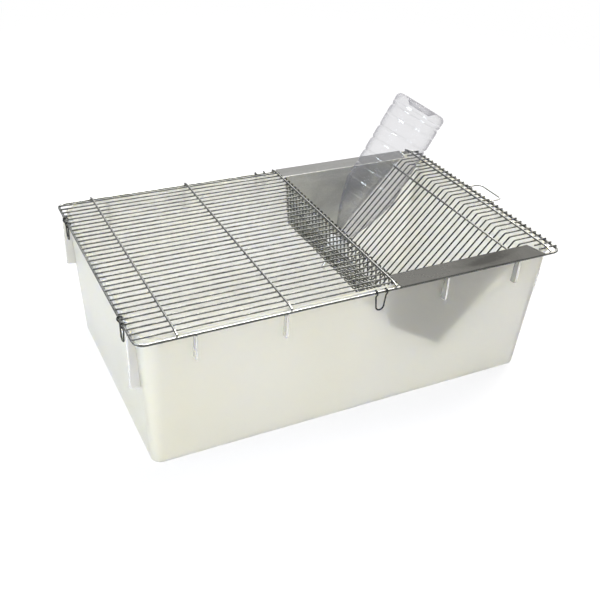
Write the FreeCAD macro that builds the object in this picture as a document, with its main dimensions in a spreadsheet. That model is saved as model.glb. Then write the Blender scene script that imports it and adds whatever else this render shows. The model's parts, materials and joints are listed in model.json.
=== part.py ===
import FreeCAD, Part
import math
import os
import re
import Sketcher
from FreeCAD import Placement, Rotation, Vector

# Rodent breeding box: a drafted plastic tub, a lift-off lid of welded wire with a
# V-shaped feed hopper, four wire clips and a drinking bottle that stands in the hopper.
# X runs along the box, Y from front to back and Z up from the middle of the tub's base.

SIZES = {
    # lid frame and grille
    "lid_length": 590,
    "lid_width": 366,
    "frame_wire": 3.5,
    "frame_corner": 12,
    "bar_wire": 2.2,
    "bar_count": 33,
    "bar_overhang": 1,
    "rung_wire": 2.8,
    "rung_tip": 0.5,
    "first_rung": 48.5,
    "rung_spacing": 139,
    "end_rung": 19.5,
    "weld_gap": 0.05,
    # feed hopper
    "end_shelf": 46,
    "hopper_length": 206,
    "wall_run": 8,
    "wall_drop": 80,
    "floor_run": 82,
    "floor_drop": 49,
    "edge_wire_setback": 9,
    "floor_wire_setback": 28,
    "slope_wire_setback": 16,
    "cross_wire_tail": 2,
    "sheet_metal": 1,
    "fold_radius": 0.8,
    "side_bars": 2,
    "flange_lead": 3,
    "flange_tail": 8,
    "flange_bevel": 8,
    # tub
    "tub_height": 197.5,
    "tub_wall": 2.5,
    "tub_draft": 3.5,
    "tub_corner": 6,
    "tub_heel": 4,
    "rim_width": 2,
    "rim_thick": 3,
    "rim_gap": 0.4,
    "seat_gap": 0.3,
    "rib_margin": 62.5,
    "rib_thick": 2.5,
    "rib_drop": 38,
    "rib_slant": 1,
    "gusset_drop": 80,
    "gusset_margin": 24,
    # clips and end loop
    "clip_wire": 2,
    "clip_width": 14,
    "clip_drop": 26,
    "clip_bend": 6,
    "eye_gap": 0.2,
    "eye_width": 2.4,
    "clip_setback": 30,
    "end_clip_bars": 12,
    "loop_bars": 2.5,
    "loop_reach": 20,
    "loop_bend": 8,
    # drinking bottle
    "bottle_radius": 41.5,
    "bottle_wall": 1,
    "body_length": 150,
    "shoulder_height": 81,
    "neck_radius": 13.5,
    "neck_height": 22,
    "base_round": 7,
    "foot_width": 7,
    "base_dish": 9,
    # cap and drinking nozzle
    "cap_radius": 16.5,
    "cap_plate": 2.5,
    "cap_skirt": 16,
    "thread_gap": 0.3,
    "seal_thick": 1.5,
    "seal_gap": 0.3,
    "tube_radius": 3.5,
    "tube_bore": 2.6,
    "tube_reach": 38,
    "tube_inside": 6,
    "tip_bore": 1.7,
    "tip_length": 1.5,
    "ball_radius": 2.3,
    "ball_gap": 0.3,
}

# How many flat sides stand for a round wire, an eye, a bend and the small ball.
BAR_SIDES = 6
WIRE_SIDES = 8
EYE_SIDES = 10
BEND_CHORDS = 3
BALL_BANDS = 4

# Edges this close to a level, in millimetres, lie on it.
ON_LEVEL = 0.001

doc = FreeCAD.newDocument("breeding_box")
sheet = doc.addObject("Spreadsheet::Sheet", "Sizes")
for row, (alias, number) in enumerate(SIZES.items(), start=1):
    sheet.set(f"A{row}", alias)
    sheet.set(f"B{row}", str(number))
    sheet.setAlias(f"B{row}", alias)
doc.recompute()

# Lengths that several pieces share, written with the sheet's own names.
BAR_PITCH = "((lid_width - frame_wire) / (bar_count + 1))"
FRAME_X = "((lid_length - frame_wire) / 2)"
FRAME_Y = "((lid_width - frame_wire) / 2)"
BARS_UNDER = "(tub_height + seat_gap)"
FRAME_Z = f"({BARS_UNDER} - weld_gap - frame_wire / 2)"
BAR_Z = f"({BARS_UNDER} + bar_wire / 2)"
RUNG_Z = f"({BARS_UNDER} + bar_wire + weld_gap + rung_wire / 2)"
LEFT = "(-lid_length / 2)"
RIDGE_X = "(lid_length / 2 - end_shelf)"
EDGE_X = f"({RIDGE_X} - hopper_length)"
FOOT_X = f"({EDGE_X} + wall_run)"
FOOT_Z = f"({BAR_Z} - wall_drop)"
APEX_X = f"({FOOT_X} + floor_run)"
APEX_Z = f"({FOOT_Z} - floor_drop)"
WEB_Y = f"({FRAME_Y} - (side_bars + 0.5) * {BAR_PITCH} + sheet_metal / 2)"
FLANGE_Z = BARS_UNDER
RIM_INSET = "(frame_wire + eye_gap + clip_wire + rim_gap)"
RIM_X = f"(lid_length / 2 - {RIM_INSET})"
RIM_Y = f"(lid_width / 2 - {RIM_INSET})"
WALL_X = f"({RIM_X} - rim_width)"
WALL_Y = f"({RIM_Y} - rim_width)"
DRAFT_RUN = "(tub_height * tan(tub_draft))"


def full(text):
    """Write a length's names as cells of the sheet, for use in another object."""
    return re.sub(r"[a-z]+(?:_[a-z]+)+", lambda name: "Sizes." + name.group(), text)


def value(text):
    return float(sheet.evalExpression(text))


def bind(item, **sizes):
    """Tie properties such as Length to lengths from the sheet."""
    for name, text in sizes.items():
        item.setExpression(name, full(text))


def place(item, x="0", y="0", z="0", turn=None):
    """Turn an object and tie its place to the sheet."""
    item.Placement = Placement(Vector(value(x), value(y), value(z)), turn or Rotation())
    for axis, text in (("x", x), ("y", y), ("z", z)):
        item.setExpression(f"Placement.Base.{axis}", full(text))


TO_X = Rotation(Vector(0, 1, 0), 90)
TO_Y = Rotation(Vector(1, 0, 0), -90)
FACING_FRONT = Rotation(Vector(1, 0, 0), 90)


# Sketch helpers.

def tie(sketch, text, kind, *where):
    """A dimension of a sketch, tied to the sheet."""
    number = sketch.addConstraint(Sketcher.Constraint(kind, *where, value(text)))
    sketch.setExpression(f"Constraints[{number}]", full(text))


def pin(sketch, curve, end, x, y):
    """Fix one end of a curve at a point given by two lengths."""
    tie(sketch, x, "DistanceX", -1, 1, curve, end)
    tie(sketch, y, "DistanceY", -1, 1, curve, end)


def outline(sketch, points, closed=True):
    """Straight lines through points, each pinned to the sheet."""
    spots = [Vector(value(x), value(y), 0) for x, y in points]
    count = len(spots) if closed else len(spots) - 1
    first = sketch.GeometryCount
    for i in range(count):
        sketch.addGeometry(Part.LineSegment(spots[i], spots[(i + 1) % len(spots)]))
        pin(sketch, first + i, 1, *points[i])
        if i:
            sketch.addConstraint(Sketcher.Constraint("Coincident", first + i - 1, 2, first + i, 1))
    if closed:
        sketch.addConstraint(Sketcher.Constraint("Coincident", first + count - 1, 2, first, 1))
    else:
        pin(sketch, first + count - 1, 2, *points[-1])


def heading(start, stop):
    """Unit steps along X and Y from one corner to the next; paths run along X or Y."""
    run = Vector(value(stop[0]) - value(start[0]), value(stop[1]) - value(start[1]), 0).normalize()
    return round(run.x), round(run.y)


def bent_points(corners, radius, closed):
    """Points of a path with each square corner bent to a radius, drawn as a few short chords."""
    count = len(corners)
    points = []
    for i, (x, y) in enumerate(corners):
        if not closed and i in (0, count - 1):
            points.append((x, y))
            continue
        before = heading(corners[i - 1], corners[i])
        after = heading(corners[i], corners[(i + 1) % count])
        for step in range(BEND_CHORDS + 1):
            turn = 90 * step / BEND_CHORDS
            points.append(
                tuple(
                    f"{spot} + ({radius}) * ({b} * sin({turn}) - {a} * cos({turn}) + {a - b})"
                    for spot, b, a in zip((x, y), before, after)
                )
            )
    return points[BEND_CHORDS:] + points[:BEND_CHORDS] if closed else points


def rounded_rectangle(sketch, half_x, half_y, radius):
    """Four lines and four tangent arcs round the sketch's origin."""
    x, y, bend = value(half_x), value(half_y), value(radius)
    first = sketch.GeometryCount
    flat_x, flat_y = x - bend, y - bend
    sides = [
        ((-flat_x, -y), (flat_x, -y)),
        ((x, -flat_y), (x, flat_y)),
        ((flat_x, y), (-flat_x, y)),
        ((-x, flat_y), (-x, -flat_y)),
    ]
    for start, stop in sides:
        sketch.addGeometry(Part.LineSegment(Vector(*start, 0), Vector(*stop, 0)))
    for i, (sign_x, sign_y) in enumerate(((1, -1), (1, 1), (-1, 1), (-1, -1))):
        circle = Part.Circle(Vector(sign_x * flat_x, sign_y * flat_y, 0), Vector(0, 0, 1), bend)
        start = math.pi / 2 * (i - 1)
        arc = sketch.addGeometry(Part.ArcOfCircle(circle, start, start + math.pi / 2))
        sketch.addConstraint(Sketcher.Constraint("Tangent", first + i, 2, arc, 1))
        sketch.addConstraint(Sketcher.Constraint("Tangent", arc, 2, first + (i + 1) % 4, 1))
        tie(sketch, radius, "Radius", arc)
    for i, text in enumerate((f"-({half_y})", half_x, half_y, f"-({half_x})")):
        level, kind = ("Vertical", "DistanceX") if i % 2 else ("Horizontal", "DistanceY")
        sketch.addConstraint(Sketcher.Constraint(level, first + i))
        tie(sketch, text, kind, -1, 1, first + i, 1)


def ring_of_points(radius, sides, x="0"):
    """Corners of a regular polygon, anticlockwise from its right-hand corner."""
    turns = [360 * i / sides for i in range(sides)]
    return [(f"{x} + {radius} * cos({turn})", f"{radius} * sin({turn})") for turn in turns]


def rectangle(half_x, half_y):
    """Corners of a centred rectangle, anticlockwise from the front left."""
    return [
        (f"-({half_x})", f"-({half_y})"),
        (half_x, f"-({half_y})"),
        (half_x, half_y),
        (f"-({half_x})", half_y),
    ]


def body(label):
    item = doc.addObject("PartDesign::Body", label)
    item.Label = label
    return item


def origin(owner, role):
    return next(part for part in owner.Origin.OriginFeatures if part.Role == role)


def sketch_in(owner, name, plane, offset="0"):
    """A sketch on one of its body's own origin planes, moved along the plane's normal."""
    sketch = owner.newObject("Sketcher::SketchObject", name)
    sketch.AttachmentSupport = [(origin(owner, plane), "")]
    sketch.MapMode = "FlatFace"
    sketch.setExpression("AttachmentOffset.Base.z", full(offset))
    return sketch


def free_sketch(name, turn=None):
    sketch = doc.addObject("Sketcher::SketchObject", name)
    sketch.Placement = Placement(Vector(), turn or Rotation())
    return sketch


def pad(owner, name, sketch, length, both_ways=False):
    feature = owner.newObject("PartDesign::Pad", name)
    feature.Profile = sketch
    feature.SideType = "Symmetric" if both_ways else "One side"
    bind(feature, Length=length)
    return feature


def revolve(owner, name, points):
    """A turned piece: a half outline of radius and height, spun about the body's Z axis."""
    sketch = sketch_in(owner, name + "_outline", "XZ_Plane")
    outline(sketch, points)
    feature = owner.newObject("PartDesign::Revolution", name)
    feature.Profile = sketch
    feature.ReferenceAxis = (sketch, ["V_Axis"])
    feature.Angle = 360
    return feature


# Tub: a drafted shell with a rim, ribs along the sides and gussets at the ends that carry the lid.

def make_tub():
    tub = body("tub")
    base = sketch_in(tub, "tub_base", "XY_Plane")
    rounded_rectangle(base, f"{WALL_X} - {DRAFT_RUN}", f"{WALL_Y} - {DRAFT_RUN}", "tub_corner")
    block = pad(tub, "tub_block", base, "tub_height")
    bind(block, TaperAngle="tub_draft")
    doc.recompute()

    floor_edges = [
        f"Edge{i}" for i, edge in enumerate(block.Shape.Edges, start=1) if edge.BoundBox.ZMax < ON_LEVEL
    ]
    heel = tub.newObject("PartDesign::Fillet", "tub_heel_round")
    heel.Base = (block, floor_edges)
    bind(heel, Radius="tub_heel")
    doc.recompute()

    inner_run = f"({DRAFT_RUN} - tub_wall * tan(tub_draft) + tub_wall)"
    floor = sketch_in(tub, "tub_inner_floor", "XY_Plane", "tub_wall")
    inner_corner = "tub_corner - tub_wall * (1 - tan(tub_draft))"
    rounded_rectangle(floor, f"{WALL_X} - {inner_run}", f"{WALL_Y} - {inner_run}", inner_corner)
    hollow = tub.newObject("PartDesign::Pocket", "tub_hollow")
    hollow.Profile = floor
    hollow.Reversed = True
    bind(hollow, Length="tub_height - tub_wall", TaperAngle="tub_draft")
    doc.recompute()

    level = value("tub_wall")
    inner_edges = [
        f"Edge{i}"
        for i, edge in enumerate(hollow.Shape.Edges, start=1)
        if max(abs(edge.BoundBox.ZMin - level), abs(edge.BoundBox.ZMax - level)) < ON_LEVEL
    ]
    inner_heel = tub.newObject("PartDesign::Chamfer", "tub_inner_bevel")
    inner_heel.Base = (hollow, inner_edges)
    bind(inner_heel, Size="(tub_heel - tub_wall) / 2")
    doc.recompute()

    rim = sketch_in(tub, "rim_ring", "XY_Plane", "tub_height - rim_thick")
    top_corner = f"(tub_corner + {DRAFT_RUN})"
    rounded_rectangle(rim, RIM_X, RIM_Y, f"{top_corner} + rim_width")
    inset = "tub_wall / 2"
    rounded_rectangle(rim, f"{WALL_X} - {inset}", f"{WALL_Y} - {inset}", f"{top_corner} - {inset}")
    pad(tub, "rim", rim, "rim_thick")

    for name, share in (("outer_rib", 1), ("inner_rib", 0.5)):
        ribs = sketch_in(tub, name + "_outlines", "YZ_Plane", f"-{share} * ({WALL_X} - rib_margin)")
        for side in ("-1", "1"):
            outline(ribs, brace_outline(side, WALL_Y, "lid_width / 2", "rib_drop"))
        rib = pad(tub, name, ribs, "rib_thick", both_ways=True)
        pair = tub.newObject("PartDesign::Mirrored", name + "_pair")
        pair.Originals = [rib]
        pair.MirrorPlane = (origin(tub, "YZ_Plane"), [""])
        tub.Tip = pair

    gussets = sketch_in(tub, "gusset_outlines", "XZ_Plane", f"{WALL_Y} - gusset_margin")
    for side in ("-1", "1"):
        outline(gussets, brace_outline(side, WALL_X, "lid_length / 2", "gusset_drop"))
    gusset = pad(tub, "gusset", gussets, "rib_thick", both_ways=True)
    pair = tub.newObject("PartDesign::Mirrored", "gusset_pair")
    pair.Originals = [gusset]
    pair.MirrorPlane = (origin(tub, "XZ_Plane"), [""])
    tub.Tip = pair
    return tub


def brace_outline(side, wall, reach, drop):
    """A brace under the lid's frame, rooted in half the wall's thickness and as far out as the lid."""
    top = f"({FRAME_Z} - frame_wire / 2 - seat_gap)"
    foot = f"(tub_height - {drop})"
    root = f"({wall} - tub_wall / 2)"
    edge = f"({reach} - rim_gap)"
    return [
        (f"{side} * ({root} - (tub_height - {top}) * tan(tub_draft))", top),
        (f"{side} * {edge}", top),
        (f"{side} * {edge}", f"{foot} + rib_slant"),
        (f"{side} * ({root} - {drop} * tan(tub_draft))", foot),
    ]


# Wires: a section carried along a sketched path.

def wire_section(name, wire, sides=WIRE_SIDES):
    """A wire's section, drawn with a few flat sides to keep so many wires light."""
    section = doc.addObject("Part::RegularPolygon", name)
    section.Polygon = sides
    bind(section, Circumradius=f"{wire} / 2")
    return section


def wire_along(label, path, section):
    """One wire: its section is carried along all of the path's edges."""
    wire = doc.addObject("Part::Sweep", label)
    wire.Label = label
    wire.Sections = [section]
    wire.Spine = (path, [f"Edge{i + 1}" for i in range(len(path.Shape.Edges))])
    wire.Solid = True
    wire.Transition = "Right corner"
    return wire


def make_lid_frame():
    path = free_sketch("frame_path")
    outline(path, bent_points(rectangle(FRAME_X, FRAME_Y), "frame_corner", True))
    place(path, z=FRAME_Z)
    section = wire_section("frame_section", "frame_wire")
    place(section, x=f"frame_corner - {FRAME_X}", y=f"-{FRAME_Y}", z=FRAME_Z, turn=TO_X)
    doc.recompute()
    return [wire_along("lid_frame", path, section)]


def make_hopper_bars():
    """The bars that run the whole length and dip through the hopper between its end plates."""
    path = free_sketch("bar_path", FACING_FRONT)
    outline(
        path,
        [
            (f"{LEFT} + frame_wire / 2 - bar_overhang", BAR_Z),
            (EDGE_X, BAR_Z),
            (FOOT_X, FOOT_Z),
            (APEX_X, APEX_Z),
            (RIDGE_X, BAR_Z),
            (f"{FRAME_X} + bar_overhang", BAR_Z),
        ],
        closed=False,
    )
    section = wire_section("bar_section", "bar_wire", BAR_SIDES)
    place(section, x=f"{LEFT} + frame_wire / 2 - bar_overhang", z=BAR_Z, turn=TO_X)
    doc.recompute()
    bars = []
    for number in hopper_bar_numbers():
        bar = wire_along(f"hopper_bar_{number:02d}", path, section)
        place(bar, y=bar_y(number))
        bars.append(bar)
    return bars


def bar_y(number):
    """Bars are counted from the front; the frame's own front wire is number 0."""
    return f"({number} * {BAR_PITCH} - {FRAME_Y})"


def hopper_bar_numbers():
    """The bars between the two end plates."""
    outside = int(value("side_bars"))
    return range(outside + 1, int(value("bar_count")) - outside + 1)


def make_side_bars():
    """Straight bars outside the end plates, on each side of the plates' flanges."""
    count = int(value("bar_count"))
    bars = []
    for number in range(1, count + 1):
        if number in hopper_bar_numbers():
            continue
        left_end = f"{LEFT} + frame_wire / 2 - bar_overhang"
        right_end = f"{FRAME_X} + bar_overhang"
        flange_start = f"{EDGE_X} - flange_lead"
        flange_stop = f"{RIDGE_X} + flange_tail + flange_bevel"
        for name, start, stop in (
            ("left", left_end, f"{flange_start} - weld_gap"),
            ("right", f"{flange_stop} + weld_gap", right_end),
        ):
            bar = doc.addObject("Part::Prism", f"side_bar_{number:02d}_{name}")
            bar.Label = bar.Name
            bar.Polygon = BAR_SIDES
            bind(bar, Circumradius="bar_wire / 2", Height=f"{stop} - ({start})")
            place(bar, x=start, y=bar_y(number), z=BAR_Z, turn=TO_X)
            bars.append(bar)
    return bars


def cross_wire(label, x, z, reach):
    """A straight wire across the lid, as long on either side of its middle as reach says."""
    wire = doc.addObject("Part::Prism", label)
    wire.Label = label
    wire.Polygon = WIRE_SIDES
    bind(wire, Circumradius="rung_wire / 2", Height=f"2 * {reach}")
    place(wire, x=x, y=f"-{reach}", z=z, turn=TO_Y)
    return wire


def make_rungs():
    """Cross wires on top of the bars, reaching over the frame's long wires."""
    spots = {
        "front_rung": f"{LEFT} + first_rung",
        "middle_rung": f"{LEFT} + first_rung + rung_spacing",
        "hopper_edge_wire": f"{EDGE_X} - edge_wire_setback",
        "end_rung": "lid_length / 2 - end_rung",
    }
    reach = f"({FRAME_Y} + rung_tip)"
    return [cross_wire(label, x, RUNG_Z, reach) for label, x in spots.items()]


def make_hopper_wires():
    """Straight cross wires inside the hopper, one on each of its three sides."""
    lift = "(bar_wire / 2 + weld_gap + rung_wire / 2)"
    wall = "sqrt(wall_run ^ 2 + wall_drop ^ 2)"
    floor = "sqrt(floor_run ^ 2 + floor_drop ^ 2)"
    slope_run = f"({RIDGE_X} - {APEX_X})"
    slope_rise = f"({BAR_Z} - {APEX_Z})"
    slope = f"sqrt({slope_run} ^ 2 + {slope_rise} ^ 2)"
    spots = {
        "wall_wire": (
            f"({EDGE_X} + {FOOT_X}) / 2 - {lift} * wall_drop / {wall}",
            f"({BAR_Z} + {FOOT_Z}) / 2 - {lift} * wall_run / {wall}",
        ),
        "floor_wire": (
            f"{FOOT_X} + (floor_wire_setback * floor_run - {lift} * floor_drop) / {floor}",
            f"{FOOT_Z} - (floor_wire_setback * floor_drop + {lift} * floor_run) / {floor}",
        ),
        "slope_wire": (
            f"{RIDGE_X} - (slope_wire_setback * {slope_run} + {lift} * {slope_rise}) / {slope}",
            f"{BAR_Z} - (slope_wire_setback * {slope_rise} - {lift} * {slope_run}) / {slope}",
        ),
    }
    numbers = hopper_bar_numbers()
    reach = f"({bar_y(numbers[-1])} + cross_wire_tail)"
    return [cross_wire(label, x, z, reach) for label, (x, z) in spots.items()]


# End plates: sheet metal that closes the hopper's ends, folded out over the frame.

def make_end_plate(label, side):
    plate = body(label)
    top = f"({FLANGE_Z} + sheet_metal)"
    web = sketch_in(plate, label + "_web", "XZ_Plane", f"-({side}) * {WEB_Y}")
    outline(web, [(EDGE_X, top), (FOOT_X, FOOT_Z), (APEX_X, APEX_Z), (RIDGE_X, top)])
    panel = pad(plate, label + "_sheet", web, "sheet_metal")
    panel.Reversed = side < 0

    flange = sketch_in(plate, label + "_flange", "XY_Plane", FLANGE_Z)
    inner = f"{side} * ({WEB_Y} - sheet_metal)"
    outer = f"{side} * lid_width / 2"
    outline(
        flange,
        [
            (f"{EDGE_X} - flange_lead", inner),
            (f"{EDGE_X} - flange_lead", outer),
            (f"{RIDGE_X} + flange_tail + flange_bevel", outer),
            (f"{RIDGE_X} + flange_tail", inner),
        ],
    )
    shelf = pad(plate, label + "_shelf", flange, "sheet_metal")
    doc.recompute()

    level = value(top)
    inside = value(inner)
    fold = [
        f"Edge{i}"
        for i, edge in enumerate(shelf.Shape.Edges, start=1)
        if edge.BoundBox.ZMin > level - ON_LEVEL
        and max(abs(edge.BoundBox.YMin - inside), abs(edge.BoundBox.YMax - inside)) < ON_LEVEL
    ]
    rounding = plate.newObject("PartDesign::Fillet", label + "_fold")
    rounding.Base = (shelf, fold)
    bind(rounding, Radius="fold_radius")
    return plate


# Clips: a wire loop that swings on the frame by two eyes. Each is drawn hanging from the
# origin, with its hinge along X, and then put in its place.

def make_clip(label, x, y, turn):
    clip = body(label)
    eye_middle = "(frame_wire / 2 + eye_gap + clip_wire / 2)"
    path = sketch_in(clip, label + "_path", "XZ_Plane")
    half = "clip_width / 2"
    corners = [
        (f"-{half}", f"-{eye_middle}"),
        (f"-{half}", "-clip_drop"),
        (half, "-clip_drop"),
        (half, f"-{eye_middle}"),
    ]
    outline(path, bent_points(corners, "clip_bend", False), closed=False)
    section = sketch_in(clip, label + "_section", "XY_Plane", f"-{eye_middle}")
    outline(section, ring_of_points("clip_wire / 2", BAR_SIDES, f"-{half}"))
    doc.recompute()
    loop = clip.newObject("PartDesign::AdditivePipe", label + "_loop")
    loop.Profile = section
    loop.Spine = (path, [f"Edge{i + 1}" for i in range(len(path.Shape.Edges))])
    loop.Transition = "Right corner"
    doc.recompute()

    ring = sketch_in(clip, label + "_ring", "YZ_Plane", half)
    for radius in ("frame_wire / 2 + eye_gap", "frame_wire / 2 + eye_gap + clip_wire"):
        outline(ring, ring_of_points(f"({radius}) / cos({180 / EYE_SIDES})", EYE_SIDES))
    eye = pad(clip, label + "_eye", ring, "eye_width", both_ways=True)
    eyes = clip.newObject("PartDesign::Mirrored", label + "_eyes")
    eyes.Originals = [eye]
    eyes.MirrorPlane = (origin(clip, "YZ_Plane"), [""])
    clip.Tip = eyes
    place(clip, x=x, y=y, z=FRAME_Z, turn=turn)
    return clip


def make_clips():
    side_x = f"({EDGE_X} - clip_setback)"
    end_y = f"(end_clip_bars * {BAR_PITCH})"
    along = Rotation()
    across = Rotation(Vector(0, 0, 1), 90)
    return [
        make_clip("front_clip", side_x, f"-{FRAME_Y}", along),
        make_clip("back_clip", side_x, FRAME_Y, along),
        make_clip("left_front_clip", f"-{FRAME_X}", f"-{end_y}", across),
        make_clip("left_back_clip", f"-{FRAME_X}", end_y, across),
    ]


def make_end_loop():
    """A fixed loop welded on the frame's right-hand wire, each end half way between two bars."""
    level = f"{FRAME_Z} + frame_wire / 2 + weld_gap + rung_wire / 2"
    half = f"(loop_bars * {BAR_PITCH})"
    near = f"({FRAME_X} - frame_wire / 2)"
    far = f"{FRAME_X} + loop_reach"
    path = free_sketch("end_loop_path")
    corners = [(near, f"-{half}"), (far, f"-{half}"), (far, half), (near, half)]
    outline(path, bent_points(corners, "loop_bend", False), closed=False)
    place(path, z=level)
    section = wire_section("end_loop_section", "rung_wire")
    place(section, x=near, y=f"-{half}", z=level, turn=TO_X)
    doc.recompute()
    return [wire_along("end_loop", path, section)]


# Drinking bottle: it stands mouth down in the hopper, square to the hopper's floor, with
# its shoulder against the slope and its nozzle through a gap between two bars.

def bottle_place():
    """Where the bottle's mouth is, and the turn that points its Z axis at its base."""
    floor = math.hypot(value("floor_run"), value("floor_drop"))
    along = Vector(-value("floor_run"), 0, value("floor_drop")) / floor
    up = Vector(value("floor_drop"), 0, value("floor_run")) / floor
    apex = Vector(value(APEX_X), 0, value(APEX_Z))
    slope = Vector(value(f"{RIDGE_X} - {APEX_X}"), 0, value(f"{BAR_Z} - {APEX_Z}")).normalize()
    lean = math.atan2(-slope.dot(along), slope.dot(up))
    skin = value("bar_wire / 2 + seat_gap")
    mouth = skin + value("cap_plate + seal_thick + seal_gap")
    shoulder = mouth + value("neck_height + shoulder_height")
    setback = value("bottle_radius") - shoulder * math.tan(lean) + skin / math.cos(lean)
    pitch = value(BAR_PITCH)
    room = value(f"{WEB_Y} - sheet_metal - seat_gap - bottle_radius")
    gap = math.floor(room / pitch - 0.5) + 0.5
    spot = apex + along * setback + up * mouth
    spot.y = gap * pitch
    return Placement(spot, Rotation(Vector(0, 0, 1), up))


def make_bottle(where):
    """A thin shell of revolution with a long shoulder and a pushed-up base."""
    bottle = body("bottle")
    shoulder = "(neck_height + shoulder_height)"
    base = f"({shoulder} + body_length)"
    skin = "(bottle_radius - bottle_wall)"
    bore = "(neck_radius - bottle_wall)"
    outside = [
        ("neck_radius", "0"),
        ("neck_radius", "neck_height"),
        ("bottle_radius", shoulder),
        ("bottle_radius", f"{base} - base_round"),
        ("bottle_radius - base_round", base),
        ("bottle_radius - base_round - foot_width", base),
        ("bottle_radius - base_round - foot_width", f"{base} - base_dish"),
        ("0", f"{base} - base_dish"),
    ]
    inside = [
        ("0", f"{base} - base_dish - bottle_wall"),
        (f"{skin} - base_round - foot_width + 2 * bottle_wall", f"{base} - base_dish - bottle_wall"),
        (f"{skin} - base_round - foot_width + 2 * bottle_wall", f"{base} - bottle_wall"),
        (f"{skin} - base_round", f"{base} - bottle_wall"),
        (skin, f"{base} - bottle_wall - base_round"),
        (skin, shoulder),
        (bore, "neck_height"),
        (bore, "0"),
    ]
    revolve(bottle, "bottle_shell", outside + inside)
    bottle.Placement = where
    return bottle


def make_cap(where):
    cap = body("bottle_cap")
    face = "(seal_gap + seal_thick)"
    bore = "(neck_radius + thread_gap)"
    hole = "(tube_radius + weld_gap)"
    revolve(
        cap,
        "cap_shell",
        [
            (hole, f"-{face} - cap_plate"),
            ("cap_radius", f"-{face} - cap_plate"),
            ("cap_radius", "cap_skirt"),
            (bore, "cap_skirt"),
            (bore, f"-{face}"),
            (hole, f"-{face}"),
        ],
    )
    cap.Placement = where
    return cap


def make_seal(where):
    seal = body("cap_seal")
    low = "-(seal_gap + seal_thick)"
    hole = "(tube_radius + weld_gap)"
    revolve(
        seal,
        "seal_ring",
        [(hole, low), ("neck_radius", low), ("neck_radius", "-seal_gap"), (hole, "-seal_gap")],
    )
    seal.Placement = where
    return seal


def make_tube(where):
    tube = body("drinking_tube")
    tip = "-(seal_gap + seal_thick + cap_plate + tube_reach)"
    revolve(
        tube,
        "tube_shell",
        [
            ("tip_bore", tip),
            ("tube_radius - tip_length / 2", tip),
            ("tube_radius", f"{tip} + tip_length"),
            ("tube_radius", "tube_inside"),
            ("tube_bore", "tube_inside"),
            ("tube_bore", f"{tip} + tip_length"),
            ("tip_bore", f"{tip} + tip_length"),
        ],
    )
    tube.Placement = where
    return tube


def make_ball(where):
    """The valve ball rests just above the lip of the tube's tip."""
    ball = body("valve_ball")
    turns = [180 * i / BALL_BANDS for i in range(BALL_BANDS + 1)]
    arc = [(f"ball_radius * sin({turn})", f"-ball_radius * cos({turn})") for turn in turns]
    revolve(ball, "ball_form", arc)
    seat = math.sqrt(value("ball_radius") ** 2 - value("tip_bore") ** 2)
    lip = value("tip_length - (seal_gap + seal_thick + cap_plate + tube_reach)")
    height = lip + seat + value("ball_gap")
    ball.Placement = where.multiply(Placement(Vector(0, 0, height), Rotation()))
    return ball


def main():
    where = bottle_place()
    parts = [make_tub()]
    parts += make_lid_frame() + make_hopper_bars() + make_side_bars() + make_rungs() + make_hopper_wires()
    parts += [make_end_plate("front_end_plate", -1), make_end_plate("back_end_plate", 1)]
    parts += make_clips() + make_end_loop()
    parts += [make(where) for make in (make_bottle, make_cap, make_seal, make_tube, make_ball)]
    doc.recompute()

    failed = [item.Label for item in doc.Objects if {"Invalid", "Error"} & set(item.State)]
    failed += [item.Label for item in parts if item.Shape.isNull() or not item.Shape.isValid()]
    if failed:
        raise RuntimeError("not built: " + ", ".join(failed))

    os.makedirs("parts", exist_ok=True)
    for item in parts:
        item.Shape.exportStep(f"parts/{item.Label}.step")
        print(item.Label, len(item.Shape.Solids), "solid", round(item.Shape.Volume), "mm3")


main()
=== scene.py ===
# %% [markdown]
# # A rodent breeding box
# A breeding box is a tub of translucent plastic under a lid of welded wire. The lid's bars dip
# into a V-shaped hopper for feed, and a drinking bottle stands in the hopper with its mouth down.
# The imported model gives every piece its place, so this lesson only adds what the eye needs: round
# wires, soft plastic edges, a clear ringed bottle and the finish of each surface.

# %% Load the fixed frame
import json
import bpy
import numpy as np
from mathutils import Matrix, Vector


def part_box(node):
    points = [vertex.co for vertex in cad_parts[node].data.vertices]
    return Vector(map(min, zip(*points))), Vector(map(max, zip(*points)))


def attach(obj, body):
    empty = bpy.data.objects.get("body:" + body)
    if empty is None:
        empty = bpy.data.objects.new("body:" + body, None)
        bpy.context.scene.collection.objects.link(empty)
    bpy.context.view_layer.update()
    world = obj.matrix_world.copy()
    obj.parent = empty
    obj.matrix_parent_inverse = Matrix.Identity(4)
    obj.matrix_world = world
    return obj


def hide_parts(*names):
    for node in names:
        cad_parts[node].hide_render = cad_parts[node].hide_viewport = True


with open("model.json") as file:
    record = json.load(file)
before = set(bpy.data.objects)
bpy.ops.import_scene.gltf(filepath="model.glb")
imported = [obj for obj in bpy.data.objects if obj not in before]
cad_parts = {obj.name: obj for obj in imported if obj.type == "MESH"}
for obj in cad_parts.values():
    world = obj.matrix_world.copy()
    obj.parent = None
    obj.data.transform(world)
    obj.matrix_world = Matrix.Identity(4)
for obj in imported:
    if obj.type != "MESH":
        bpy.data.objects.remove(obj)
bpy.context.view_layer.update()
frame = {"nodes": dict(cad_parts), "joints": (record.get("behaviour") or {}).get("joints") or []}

joints = {joint["name"]: joint for joint in frame["joints"]}

# %% [markdown]
# ## From arrays to pieces
# A mesh could be built vertex by vertex, but a surface is easier to think about as a grid: one
# parameter runs along the piece and the other runs round it. Numpy works out all points of the
# grid at once. Lengths here are millimetres, and MM turns them into metres where Blender needs them.

# %% Grid surfaces
MM = 0.001
SHARP_EDGE = np.radians(40)


def span(node):
    """Lowest and highest corner of a node, in millimetres."""
    low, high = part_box(node)
    return np.array(low) / MM, np.array(high) / MM


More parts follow.
